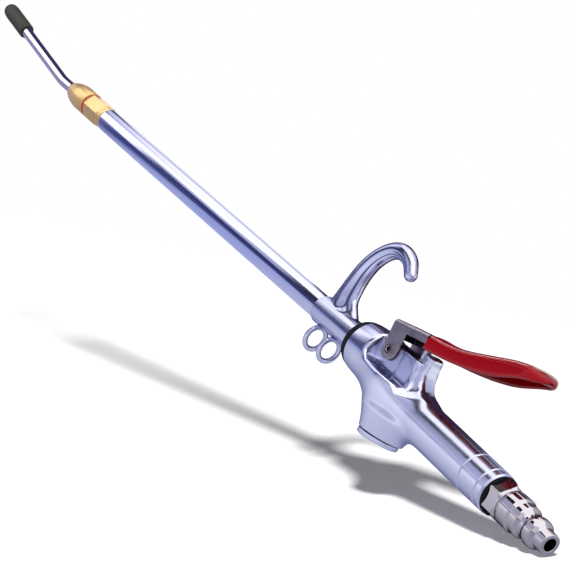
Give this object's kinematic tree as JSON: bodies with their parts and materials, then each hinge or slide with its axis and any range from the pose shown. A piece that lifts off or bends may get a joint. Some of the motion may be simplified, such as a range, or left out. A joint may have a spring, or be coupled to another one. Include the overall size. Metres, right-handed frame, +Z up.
{
  "type": "air blow gun",
  "caption": "Hand-held pneumatic air duster with a long straight barrel, squeeze lever with a rubber grip, hanging hook, plug-in air inlet and a bent nozzle tube with a soft tip.",
  "frame": {"origin": "centre of the inlet plug's nose face, where the hose coupling meets it", "axes": "+X along the tool, from the inlet plug to the rubber tip; +Z up, the side of the lever and the hook; +Y left"},
  "size_m": [0.4194, 0.025, 0.0602],
  "materials": {
    "casting": "satin plated, blue-grey silver",
    "nickel": "bright nickel",
    "lever_steel": "dark nickel",
    "spring_steel": "bright wire",
    "brass": "turned brass",
    "black_rubber": "matte black",
    "tip_rubber": "matte dark grey",
    "grip_rubber": "glossy red vinyl",
    "red_washer": "dark red-brown"
  },
  "bodies": {
    "gun": {"gun_body": "casting", "hook_collar": "casting", "barrel_tube": "casting", "front_seal": "black_rubber", "stem_bush": "brass", "stem_oring": "black_rubber", "valve_cap": "casting", "cap_seal": "black_rubber", "inlet_plug": "nickel", "inlet_seal": "black_rubber", "nozzle_fitting": "brass", "seal_washer": "red_washer", "gland_nut": "brass", "lever_pin": "lever_steel", "valve_spring": "spring_steel"},
    "lever": {"lever": "lever_steel", "lever_grip": "grip_rubber"},
    "stem": {"valve_stem": "nickel", "valve_poppet": "brass", "poppet_seal": "black_rubber"},
    "nozzle": {"nozzle_tube": "nickel", "ferrule": "black_rubber", "rubber_tip": "tip_rubber"}
  },
  "joints": [
    {"name": "lever_hinge", "type": "hinge", "parent": "gun", "child": "lever", "pos_m": [0.1048, 0, 0.0153], "axis": [0, -1, 0], "range_deg": [0, 11], "stiffness_Nm_per_rad": 4, "springref_deg": -8.59},
    {"name": "stem_slide", "type": "slide", "parent": "gun", "child": "stem", "axis": [-0.0558, 0, -0.9984], "range_m": [0, 0.0021], "deforming": ["valve_spring"]},
    {"name": "nozzle_aim", "type": "hinge", "parent": "gun", "child": "nozzle", "pos_m": [0.34, 0, 0.0089], "axis": [1, 0, 0], "continuous": true}
  ],
  "couplings": [
    {"joint": "stem_slide", "follows": "lever_hinge", "m_per_rad": 0.0103}
  ]
}
